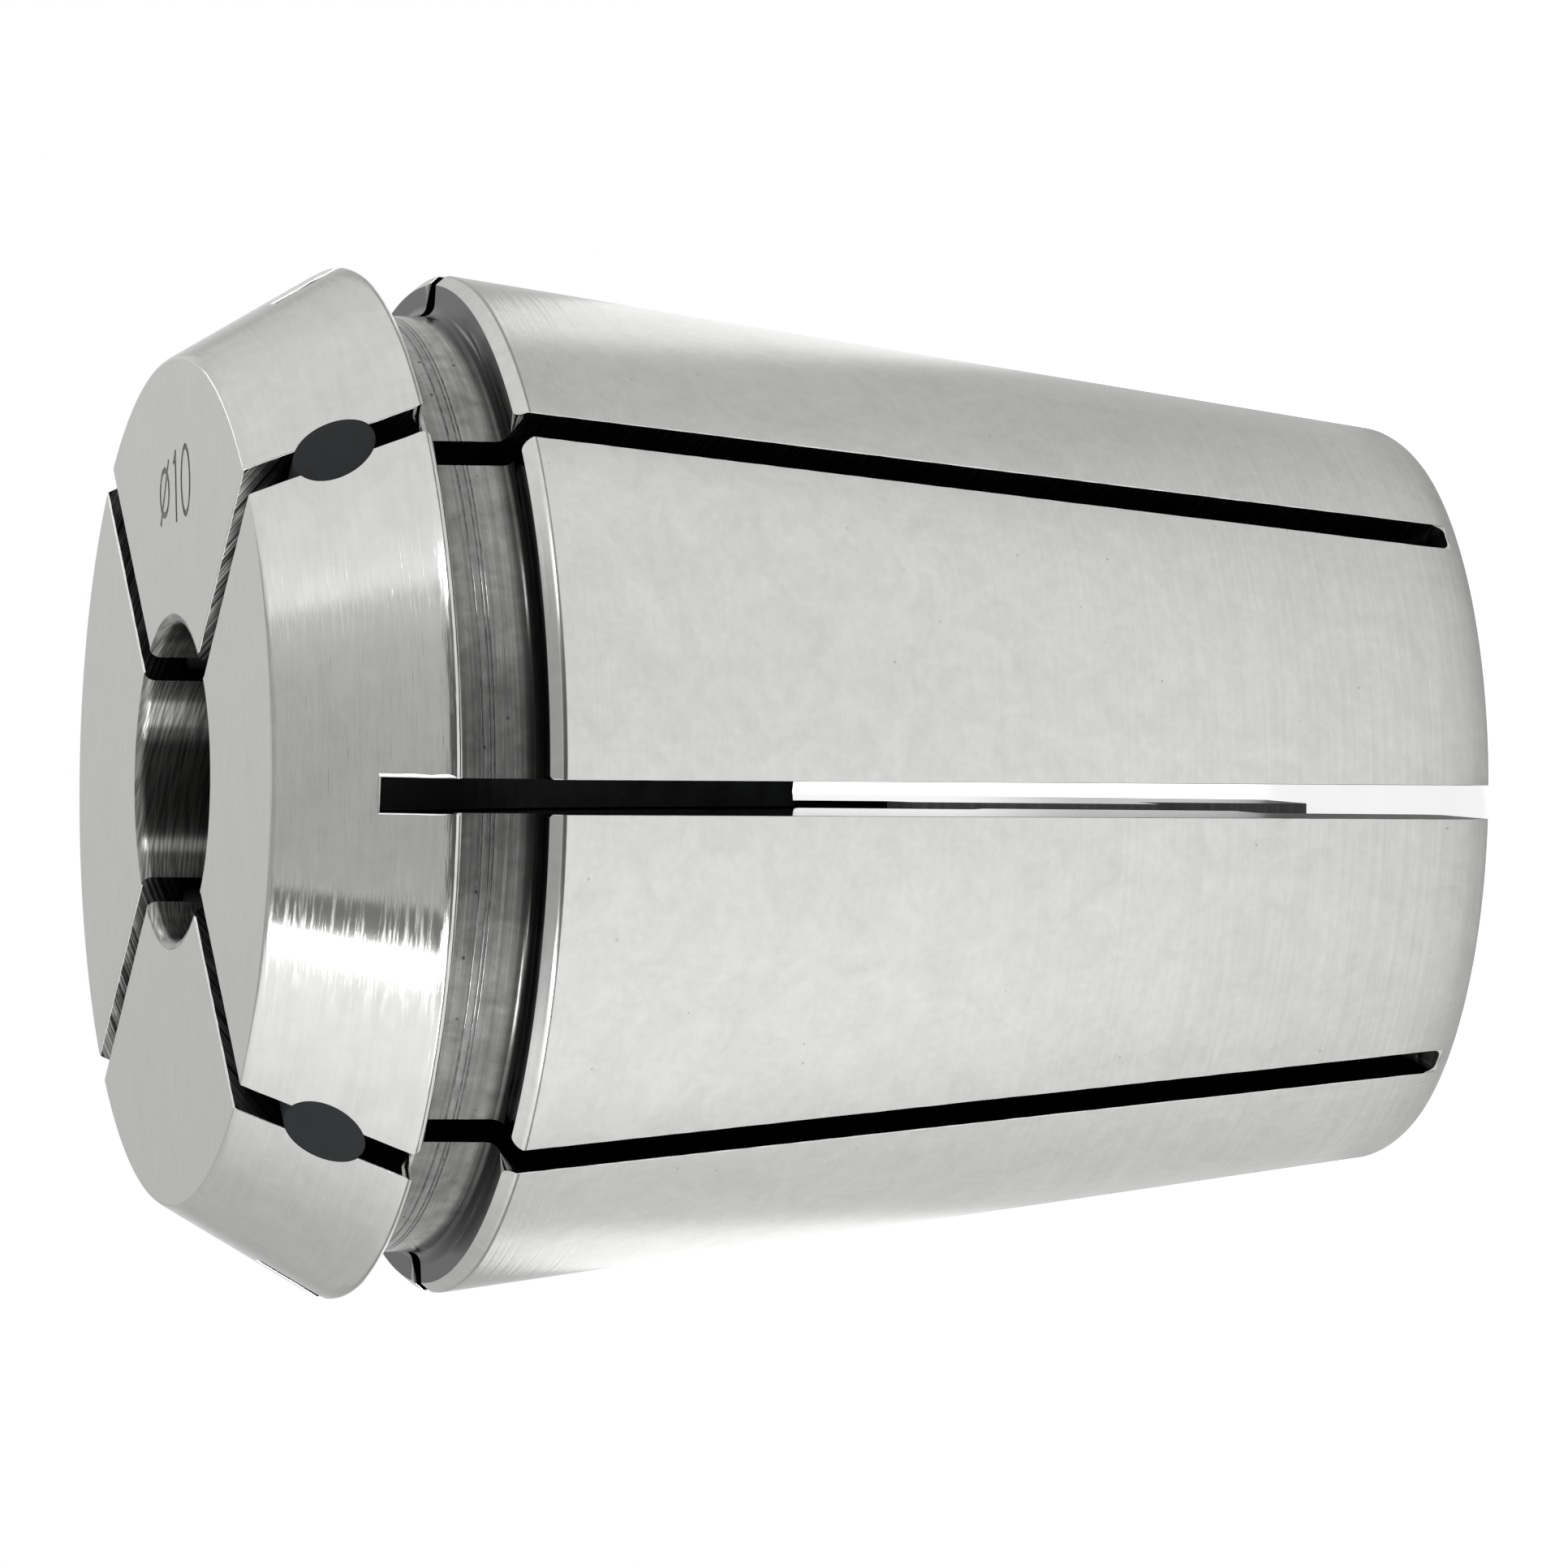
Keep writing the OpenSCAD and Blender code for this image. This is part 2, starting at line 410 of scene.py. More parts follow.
FINISHES = {
    "taper": ground_taper(),
    "nose": ground_nose(),
    "face": ground_face(),
    "groove": turned_groove(),
    # Rings that the turning tool left in the groove's floor: dark with painted shade, and with a sharp
    # glint from the lamps
    "tool_line": cloudy_steel("tool_line_steel", 0.16, "#8c8d8c", 0.3, 0.4, 1.1),
    "bore": honed_bore(),
    "bored": bored_steel(),
    "sawn": sawn_wall(),
    # Walls of the slots cut from the rear: black, partly dark oxide and partly painted shade deep in the
    # narrow slots, and a mirror at a flat angle
    "oiled": cloudy_steel("oiled_slot_steel", 0.1, "#121313", 0.8, 0.5, 1.1),
    # The size mark, engraved by a laser: dull and grey, with soft edges
    "marked": cloudy_steel("laser_marked_steel", 0.55, "#868685", 0.25, 0.75, 1.15),
    # The slots' edges, torn up by the saw and broken with a brush: rough up close, and lighter than the
    # steel as a painted highlight
    "edge": cloudy_steel("brushed_edge_steel", 0.3, "#ececea", 0.25, 0.8, 1.05),
    # The segments' corners beside the groove, worn round and polished by the nut: a dim mirror
    "corner": cloudy_steel("polished_corner_steel", 0.12, "#c8c8c6", 0.4, 0.85, 1.1),
}
FINISH_NUMBER = {name: number for number, name in enumerate(FINISHES)}


# Half section of the body: each stretch has a finish, two points (r, z) and the normal at both

section = []


def run(finish, start, end, steps=1):
    """A straight stretch of the section."""
    start, end = Vector(start), Vector(end)
    normal = Vector((end.y - start.y, start.x - end.x)).normalized()
    for i in range(steps):
        a, b = start.lerp(end, i / steps), start.lerp(end, (i + 1) / steps)
        section.append((finish, a, b, normal, normal))


def sweep(finish, centre, radius, first, last, steps):
    """A round stretch: outward where its angle grows, and hollow where it falls."""
    side = 1 if last > first else -1
    ways = [direction(a) for a in np.linspace(first, last, steps + 1)]
    for a, b in zip(ways, ways[1:]):
        section.append((finish, centre + radius * a, centre + radius * b, side * a, side * b))


def turned_floor(low, high):
    """The groove's floor, with the hollow rings that the tool left in it."""
    radius = tool_line_w / 2 / sine(tool_line_slope)
    z = low
    for place in TOOL_LINES:
        run("groove", (groove_r, z), (groove_r, place - tool_line_w / 2))
        centre = Vector((groove_r + radius * math.cos(math.radians(tool_line_slope)), place))
        sweep("tool_line", centre, radius, 180 + tool_line_slope, 180 - tool_line_slope, 6)
        z = place + tool_line_w / 2
    run("groove", (groove_r, z), (groove_r, high), 2)


def last_point():
    return section[-1][2]


# Rear face and its rounded edge, which ends in a corner on the face
rear_centre = Vector((taper_r(rear_round_l), rear_round_l)) - rear_round * direction(-taper_angle)
rear_start = math.degrees(math.asin(-rear_centre.y / rear_round))
run("face", (relief_r + relief_chamfer, 0), rear_centre + rear_round * direction(rear_start), 3)
sweep("taper", rear_centre, rear_round, rear_start, -taper_angle, 8)

# Taper, and the chamfer at its front with a rounded edge between them
lead_corner = Vector((taper_r(lead_z), lead_z))
lead_tangent = lead_round * math.tan(math.radians((lead_angle + taper_angle) / 2))
lead_start = lead_corner - lead_tangent * Vector((sine(taper_angle), math.cos(math.radians(taper_angle))))
lead_centre = lead_start - lead_round * direction(-taper_angle)
lead_r = lead_corner.x - lead_l * math.tan(math.radians(lead_angle))
run("taper", last_point(), lead_start, 60)
sweep("taper", lead_centre, lead_round, -taper_angle, lead_angle, 6)
run("taper", last_point(), (lead_r, shoulder_z))

# Groove with a fillet at the foot of both walls
fillet_r = groove_r + groove_fillet
run("groove", (lead_r, shoulder_z), (fillet_r, shoulder_z), 2)
sweep("groove", Vector((fillet_r, shoulder_z + groove_fillet)), groove_fillet, 270, 180, 6)
turned_floor(shoulder_z + groove_fillet, nose_back_z - groove_fillet)
sweep("groove", Vector((fillet_r, nose_back_z - groove_fillet)), groove_fillet, 180, 90, 6)

# Nose cone: polishing has rolled it over a little beside its two edges
back_end = nose_angle - back_roll
back_z = nose_back_z + nose_round + nose_round * sine(back_end)
back_z += back_roll_r * (sine(nose_angle) - sine(back_end))
back_start = Vector((cone_r(back_z), back_z))
roll_centre = back_start - back_roll_r * direction(nose_angle)
back_centre = roll_centre + (back_roll_r - nose_round) * direction(back_end)
front_end = nose_angle + front_roll
front_z = body_l - front_break + front_break * sine(front_end)
front_z -= front_roll_r * (sine(front_end) - sine(nose_angle))
front_start = Vector((cone_r(front_z), front_z))
front_centre = front_start - front_roll_r * direction(nose_angle)
break_centre = front_centre + (front_roll_r - front_break) * direction(front_end)
run("groove", last_point(), back_centre - nose_round * direction(90), 2)
sweep("nose", back_centre, nose_round, -90, back_end, 8)
sweep("nose", roll_centre, back_roll_r, back_end, nose_angle, 3)
run("nose", back_start, front_start, 22)
sweep("nose", front_centre, front_roll_r, nose_angle, front_end, 3)
sweep("nose", break_centre, front_break, front_end, 90, 5)

# Front face, bore, and the plain inside as far as the square and the relief
web_r = square_half - 0.5
square_z = bore_end_z - lead_in_l
run("face", last_point(), (bore_r + bore_chamfer, body_l), 10)
sweep("bore", Vector((bore_r + bore_chamfer, body_l - bore_chamfer)), bore_chamfer, 90, 180, 5)
run("bore", (bore_r, body_l - bore_chamfer), (bore_r, bore_end_z), 14)
run("bored", (bore_r, bore_end_z), (square_half, square_z))
run("bored", (square_half, square_z), (web_r, square_z))
run("bored", (web_r, square_z), (web_r, relief_l))
run("bored", (web_r, relief_l), (relief_r, relief_l))
run("bored", (relief_r, relief_l), (relief_r, relief_chamfer), 3)
run("bored", (relief_r, relief_chamfer), (relief_r + relief_chamfer, 0))


# Cutters: closed bodies whose faces leave their own finish

def mesh_object(name, vertices, faces):
    mesh = bpy.data.meshes.new(name)
    mesh.from_pydata([tuple(v) for v in vertices], [], faces)
    return placed(name, mesh)


def cutter(name, finish, parts):
    """One object from parts (vertices, faces), its faces turned outwards and given their finish."""
    vertices, faces = [], []
    for more, polygons in parts:
        faces += [[len(vertices) + i for i in polygon] for polygon in polygons]
        vertices += more
    obj = mesh_object(name, vertices, faces)
    bm = bmesh.new()
    bm.from_mesh(obj.data)
    bmesh.ops.recalc_face_normals(bm, faces=bm.faces)
    bm.to_mesh(obj.data)
    bm.free()
    numbers = obj.data.attributes.new("finish", "INT", "FACE")
    numbers.data.foreach_set("value", [FINISH_NUMBER[finish]] * len(obj.data.polygons))
    return obj


def loft(layers, place):
    """A closed body through layers (height, outline); place turns (u, v, height) into x, y, z."""
    n = len(layers[0][1])
    vertices = [place(u, v, h) for h, outline in layers for u, v in outline]
    faces = [tuple(range(n))[::-1], tuple(range(len(vertices) - n, len(vertices)))]
    for layer in range(len(layers) - 1):
        low, high = layer * n, (layer + 1) * n
        faces += [(low + i, low + (i + 1) % n, high + (i + 1) % n, high + i) for i in range(n)]
    return vertices, faces


def saw_pass(axis_z, open_z, rim_round):
    """What one pass of the slitting saw takes away, from open_z to where its worn rim stops."""
    outer = body_r + 2
    rim_steps = 56
    away = 1 if open_z < axis_z else -1
    half = slot_w / 2
    depths = rim_round * (1 - np.cos(np.radians(np.linspace(0, 90, 5))))
    heights = [-half + d for d in depths] + [half - d for d in depths[::-1]]
    layers = []
    for h in heights:
        inside = max(rim_round - (half - abs(h)), 0)
        worn = saw_r - rim_round + math.sqrt(max(rim_round ** 2 - inside ** 2, 0))
        last = math.acos((outer - saw_axis_r) / worn)
        rim = [(saw_axis_r + worn * math.cos(a), axis_z + away * worn * math.sin(a))
               for a in np.linspace(math.pi, last, rim_steps)]
        layers.append((h, [(saw_axis_r - worn, open_z)] + rim + [(outer, open_z)]))
    return loft(layers, lambda u, v, h: (u, h, v))


def corner_rounding(side, edge_z, away, radius):
    """Takes the corner off between a slot's wall and one wall of the groove, less towards its floor."""
    past = 0.01
    # Distance from the axis, and the rounding's radius there
    stations = [(groove_r + groove_fillet, 0.05 * radius), (lead_r, radius), (body_r + 1, 1.5 * radius)]
    layers = []
    for r, size in stations:
        outline = [(-past, -past), (-past, size)]
        for a in np.linspace(0, math.pi / 2, 7):
            outline.append((size - size * math.cos(a), size - size * math.sin(a)))
        outline.append((size, -past))
        layers.append((r, [(side * (slot_w / 2 + u), edge_z + away * v) for u, v in outline]))
    return loft(layers, lambda u, v, h: (h, u, v))


def slot_corners(radius):
    walls = [(shoulder_z, -1), (nose_back_z, 1)]
    return [corner_rounding(side, z, away, radius) for side in (-1, 1) for z, away in walls]


def lip(stations, place):
    """Breaks both edges of a slot; each station has (way along, surface height, width, width).

    Three facets lead from 0.77 of the width down the wall to the whole width out on the surface.
    """
    chance = np.random.RandomState(len(stations))
    half = slot_w / 2
    # How far the first and last facets run on, their slope, and how far the cutter stands above
    inside, outside = 0.05, 0.08
    steep, flat = 0.92, 0.38
    above = 0.3
    layers = []
    for way, top, right, left in stations:
        halves = []
        for w in (right, left):
            w *= chance.uniform(0.75, 1.2)
            halves.append([
                (half - flat * inside, top - 0.77 * w - steep * inside),
                (half + 0.115 * w, top - 0.49 * w),
                (half + 0.33 * w, top - 0.28 * w),
                (half + w + steep * outside, top + flat * outside),
                (half + w, top + above)])
        other = [(-u, v) for u, v in halves[1][::-1]]
        layers.append((way, halves[0] + other))
    return loft(layers, place)


def lips_along(stations, right, left):
    """Lips between heights (z, r), at steps short enough for their widths to waver."""
    points = []
    for (z0, r0), (z1, r1) in zip(stations, stations[1:]):
        steps = max(round(abs(z1 - z0) / lip_step), 1)
        points += [(z0 + (z1 - z0) * i / steps, r0 + (r1 - r0) * i / steps) for i in range(steps)]
    points.append(stations[-1])
    return lip([(z, r, right, left) for z, r in points], lambda u, v, z: (v, u, z))


def slot_lips(nose_end, rear_end, right, left):
    """Lips of one slot on the nose cone, in the groove and on the taper."""
    past = 0.1
    nose = [(nose_back_z - past, cone_r(nose_back_z - past)), (nose_end, cone_r(nose_end))]
    groove = [(shoulder_z + groove_fillet, groove_r), (nose_back_z - groove_fillet, groove_r)]
    lead_end = (shoulder_z + past, lead_r - past * math.tan(math.radians(lead_angle)))
    taper = [(rear_end, taper_r(rear_end)), (lead_z, taper_r(lead_z)), lead_end]
    return [
        lips_along(nose, right, left),
        lips_along(groove, groove_lip, groove_lip),
        lips_along(taper, taper_lip, taper_lip),
    ]


def face_lips():
    ways = np.arange(bore_r + bore_chamfer, face_r + lip_step, lip_step)
    return lip([(r, body_l, face_lip, face_lip) for r in ways], lambda u, v, r: (r, u, v))


def oval(u, half_w, half_h, steps):
    """Outline of an oval whose middle lies at (u, 0)."""
    turns = np.arange(steps) * math.tau / steps
    return [(u + half_w * math.cos(a), half_h * math.sin(a)) for a in turns]


def circle(radius, steps):
    return oval(0, radius, radius, steps)


def square_outline():
    """The square with its corners cut to a circle."""
    half = math.acos(square_half / square_corner_r)
    points = []
    for quarter in range(4):
        for a in np.linspace(half, math.pi / 2 - half, 5):
            turn = a + quarter * math.pi / 2
            points.append((square_corner_r * math.cos(turn), square_corner_r * math.sin(turn)))
    return points


# Mark on the front face: a diameter sign and the bore's size in millimetres, as plain strokes

mark_depth = 0.02
mark_stroke = 0.2
mark_height = 2.3
mark_pitch = 1.55
letter_steps = 28
mark_turn = math.radians(8.5)
mark_middle = Vector((9.35, 0.05))


def stroke(points, closed, depth):
    """One engraved stroke, from just above the face down to its depth."""
    count = len(points)
    line = [Vector(p) for p in points]
    vertices = []
    for i, p in enumerate(line):
        before = line[i - 1] if closed or i else p
        after = line[(i + 1) % count] if closed or i < count - 1 else p
        way = (after - before).normalized()
        across = Vector((-way.y, way.x)) * mark_stroke / 2
        for v in (p + across, p - across):
            vertices += [(v.x, v.y, body_l - depth), (v.x, v.y, body_l + 0.2)]
    faces = []
    for i in range(count if closed else count - 1):
        a, b = 4 * i, 4 * ((i + 1) % count)
        faces += [(a, b, b + 1, a + 1), (a + 2, a + 3, b + 3, b + 2)]
        faces += [(a, a + 2, b + 2, b), (a + 1, b + 1, b + 3, a + 3)]
    if not closed:
        end = 4 * (count - 1)
        faces += [(0, 1, 3, 2), (end, end + 2, end + 3, end + 1)]
    return vertices, faces


def mark_strokes():
    """Strokes in reading coordinates, u to the right and v up, centred on the mark."""
    top = mark_height / 2
    bar_w, bar_h = 0.62, 0.98
    one_u, flag_w = 0.02, 0.3
    return [
        (oval(-mark_pitch, 0.6, 0.72, letter_steps), True),
        ([(-mark_pitch - bar_w, -bar_h), (-mark_pitch + bar_w, bar_h)], False),
        ([(one_u - flag_w, top - 0.42), (one_u, top - 0.06)], False),
        ([(one_u, top), (one_u, -top)], False),
        (oval(mark_pitch - 0.2, 0.58, top - 0.08, letter_steps), True),
    ]


def placed_stroke(points, closed, depth):
    """The stroke turned and moved to its place, its letters' top towards the face's rim."""
    turned = []
    for u, v in points:
        right = u * math.cos(mark_turn) - v * math.sin(mark_turn)
        up = u * math.sin(mark_turn) + v * math.cos(mark_turn)
        turned.append((mark_middle.x + up, mark_middle.y - right))
    return stroke(turned, closed, depth)


rear_saw_z = body_l - front_web - saw_reach(cone_r(body_l - front_web))
front_saw_z = rear_web + saw_reach(taper_r(rear_web))
# Cutters and the place of the first one round the axis, in pitches; those without one are used once
repeated = {
    "Rear Saw": (cutter("rear_saw", "oiled", [saw_pass(rear_saw_z, -1, rear_rim_round)]), 0.0),
    "Front Saw": (cutter("front_saw", "sawn", [saw_pass(front_saw_z, body_l + 1, front_rim_round)]), 0.5),
    "Rear Corners": (cutter("rear_corners", "corner", slot_corners(rear_corner_r)), 0.0),
    "Front Corners": (cutter("front_corners", "corner", slot_corners(front_corner_r)), 0.5),
    "Rear Lips": (cutter("rear_lips", "edge", slot_lips(
        body_l - front_web - 0.02, -0.3, wide_lip, narrow_lip)), 0.0),
    "Front Lips": (cutter("front_lips", "edge", slot_lips(
        body_l + 0.3, rear_web + 0.05, taper_lip, taper_lip)), 0.5),
    "Face Lips": (cutter("face_lips", "edge", [face_lips()]), 0.5),
    "Plug Drill": (cutter("plug_drill", "bored", [loft(
        [(plug_inner_r, circle(plug_r, 48)), (body_r + 1, circle(plug_r, 48))],
        lambda u, v, h: (h, u, body_l - plug_place + v))]), 0.5),
}
single = {
    "Square Broach": cutter("square_broach", "bored", [loft(
        [(relief_l - 1, square_outline()), (bore_end_z + 0.002, square_outline())],
        lambda u, v, h: (u, v, h))]),
}
# No two strokes end at the same depth, so that those that cross leave no double faces
for number, (points, closed) in enumerate(mark_strokes()):
    engraved = placed_stroke(points, closed, mark_depth + 0.002 * number)
    single["Stroke %d" % number] = cutter("stroke_%d" % number, "marked", [engraved])

section_object = mesh_object("half_section", [(p[1].x, 0, p[1].y) for p in section], [])
finish_of_point = section_object.data.attributes.new("finish", "INT", "POINT")
finish_of_point.data.foreach_set("value", [FINISH_NUMBER[p[0]] for p in section])


# Geometry Nodes: the section is turned round the axis, and the cutters are repeated round it

def lathe(tree, given, section_mesh, rows):
    """Turns the section round the axis; columns beside a slot keep their distance from its middle."""
    index = add(tree, "GeometryNodeInputIndex")
    pair = add(tree, "ShaderNodeMath", {0: given["Half Columns"], 1: 2.0}, operation="MULTIPLY")
    columns = add(tree, "ShaderNodeMath", {0: pair, 1: given["Slot Directions"]}, operation="MULTIPLY")
    across = add(tree, "ShaderNodeMath", {0: columns, 1: 1.0})
    down = add(tree, "ShaderNodeMath", {0: rows, 1: 1.0})
    grid = add(tree, "GeometryNodeMeshGrid", {"Vertices X": across, "Vertices Y": down}, output="Mesh")

    # Column and row of each grid point, and its radius and height
    share = add(tree, "ShaderNodeMath", {0: index, 1: down}, operation="DIVIDE")
    column = add(tree, "ShaderNodeMath", {0: share}, operation="FLOOR")
    row = add(tree, "ShaderNodeMath", {0: index, 1: down}, operation="MODULO")
    row = add(tree, "ShaderNodeMath", {0: row, 1: rows}, operation="MODULO")
    place = add(tree, "GeometryNodeInputPosition")
    point = add(tree, "GeometryNodeSampleIndex", {0: section_mesh, 1: place, "Index": row},
                data_type="FLOAT_VECTOR", domain="POINT")
    r, _, z = add(tree, "ShaderNodeSeparateXYZ", {0: point}, output=None)

    # Angle of each column
    turns = add(tree, "ShaderNodeMath", {0: column, 1: pair}, operation="DIVIDE")
    slot = add(tree, "ShaderNodeMath", {0: turns}, operation="ROUND")
    start = add(tree, "ShaderNodeMath", {0: slot, 1: pair}, operation="MULTIPLY")
    offset = add(tree, "ShaderNodeMath", {0: column, 1: start}, operation="SUBTRACT")
    steps = add(tree, "ShaderNodeMath", {0: offset}, operation="ABSOLUTE")
    side = add(tree, "ShaderNodeMath", {0: offset}, operation="SIGN")
    near = add(tree, "ShaderNodeMath", {0: steps, 1: given["Lanes"]}, operation="MINIMUM")
    shift = add(tree, "ShaderNodeMath", {0: near, 1: given["Lane Width"]}, operation="MULTIPLY")
    shift = add(tree, "ShaderNodeMath", {0: shift, 1: r}, operation="DIVIDE")
    inner = add(tree, "ShaderNodeMath", {0: shift}, operation="ARCSINE")
    pitch = add(tree, "ShaderNodeMath", {0: math.tau, 1: given["Slot Directions"]}, operation="DIVIDE")
    half = add(tree, "ShaderNodeMath", {0: pitch, 1: 2.0}, operation="DIVIDE")
    left = add(tree, "ShaderNodeMath", {0: half, 1: inner}, operation="SUBTRACT")
    past = add(tree, "ShaderNodeMath", {0: steps, 1: near}, operation="SUBTRACT")
    wide = add(tree, "ShaderNodeMath", {0: given["Half Columns"], 1: given["Lanes"]},
               operation="SUBTRACT")
    part = add(tree, "ShaderNodeMath", {0: past, 1: wide}, operation="DIVIDE")
    local = add(tree, "ShaderNodeMath", {0: part, 1: left, 2: inner}, operation="MULTIPLY_ADD")
    signed = add(tree, "ShaderNodeMath", {0: local, 1: side}, operation="MULTIPLY")
    angle = add(tree, "ShaderNodeMath", {0: slot, 1: pitch, 2: signed}, operation="MULTIPLY_ADD")
    ray = add(tree, "ShaderNodeCombineXYZ", {0: r, 2: z})
    where = add(tree, "ShaderNodeVectorRotate", {"Vector": ray, "Angle": angle}, rotation_type="Z_AXIS")
    turned = add(tree, "GeometryNodeSetPosition", {0: grid, "Position": where})

    # Each row of faces takes the finish of its stretch
    face_row = add(tree, "ShaderNodeMath", {0: index, 1: rows}, operation="MODULO")
    stored = add(tree, "GeometryNodeInputNamedAttribute", {"Name": "finish"},
                 data_type="INT", output="Attribute")
    finish = add(tree, "GeometryNodeSampleIndex", {
        0: section_mesh, 1: stored, "Index": face_row},
        data_type="INT", domain="POINT")
    finished = add(tree, "GeometryNodeStoreNamedAttribute", {0: turned, "Name": "finish", "Value": finish},
                   data_type="INT", domain="FACE")
    return add(tree, "GeometryNodeMergeByDistance", {0: finished, "Distance": 0.0005})


def collet_tree():
    tree = bpy.data.node_groups.new("turn_and_slot", "GeometryNodeTree")
    face = tree.interface
    for name in ["Section", *repeated, *single]:
        face.new_socket(name, in_out="INPUT", socket_type="NodeSocketObject")
    for name in ["Half Columns", "Slot Directions", "Slots"]:
        face.new_socket(name, in_out="INPUT", socket_type="NodeSocketInt")
    for name in ["Lane Width", "Lanes"]:
        face.new_socket(name, in_out="INPUT", socket_type="NodeSocketFloat")
    face.new_socket("Geometry", in_out="OUTPUT", socket_type="NodeSocketGeometry")
    given = add(tree, "NodeGroupInput", output=None)
    section_mesh = add(tree, "GeometryNodeObjectInfo", {"Object": given["Section"]}, output="Geometry")
    rows = add(tree, "GeometryNodeAttributeDomainSize", {0: section_mesh},
               component="MESH", output="Point Count")
    blank = lathe(tree, given, section_mesh, rows)

    # Copies of each repeated cutter stand round the axis
    index = add(tree, "GeometryNodeInputIndex")
    quarter = add(tree, "ShaderNodeMath", {0: math.tau, 1: given["Slots"]}, operation="DIVIDE")
    cutters = []
    for name, (_, phase) in repeated.items():
        body = add(tree, "GeometryNodeObjectInfo", {"Object": given[name]}, output="Geometry")
        points = add(tree, "GeometryNodePoints", {"Count": given["Slots"]})
        turn = add(tree, "ShaderNodeMath", {0: index, 1: phase})
        turn = add(tree, "ShaderNodeMath", {0: turn, 1: quarter}, operation="MULTIPLY")
        spin = add(tree, "ShaderNodeCombineXYZ", {2: turn})
        copies = add(tree, "GeometryNodeInstanceOnPoints", {
            "Points": points, "Instance": body, "Rotation": spin})
        cutters.append(add(tree, "GeometryNodeRealizeInstances", {0: copies}))
    for name in single:
        cutters.append(add(tree, "GeometryNodeObjectInfo", {"Object": given[name]}, output="Geometry"))
    cut = add(tree, "GeometryNodeMeshBoolean", {"Mesh 1": blank, "Mesh 2": cutters},
              operation="DIFFERENCE", solver="EXACT", output="Mesh")

    # Every face takes the material of its finish; inputs 2 and 3 of Compare are whole numbers
    result = add(tree, "GeometryNodeRealizeInstances", {0: cut})
    stored = add(tree, "GeometryNodeInputNamedAttribute", {"Name": "finish"},
                 data_type="INT", output="Attribute")
    for name, material in FINISHES.items():
        chosen = add(tree, "FunctionNodeCompare", {
            2: stored, 3: FINISH_NUMBER[name]}, data_type="INT", operation="EQUAL")
        result = add(tree, "GeometryNodeSetMaterial", {
            0: result, "Selection": chosen, "Material": material})
    add(tree, "NodeGroupOutput", {0: result}, output=None)
    return tree


def machined_collet():
    """The turned and slotted body as a plain mesh, with the modifier and its cutters removed."""
    host = mesh_object("collet_host", [], [])
    modifier = host.modifiers.new("turn_and_slot", "NODES")
    modifier.node_group = collet_tree()
    values = {
        "Section": section_object, "Half Columns": HALF_COLUMNS, "Slot Directions": SLOT_DIRECTIONS,
        "Slots": SLOTS, "Lane Width": LANE_W, "Lanes": float(LANES),
    }
    values.update({name: obj for name, (obj, _) in repeated.items()})
    values.update(single)
    for item in modifier.node_group.interface.items_tree:
        if item.in_out == "INPUT":
            modifier[item.identifier] = values[item.name]
    view = bpy.context.evaluated_depsgraph_get()
    mesh = bpy.data.meshes.new_from_object(host.evaluated_get(view))
    mesh.name = "machined_body"
    # The first slot is empty, because the blank and the cutters have no material of their own
    mesh.materials.pop(index=0)
    for obj in [host, section_object, *[obj for obj, _ in repeated.values()], *single.values()]:
        bpy.data.objects.remove(obj)
    return placed(mesh.name, mesh)


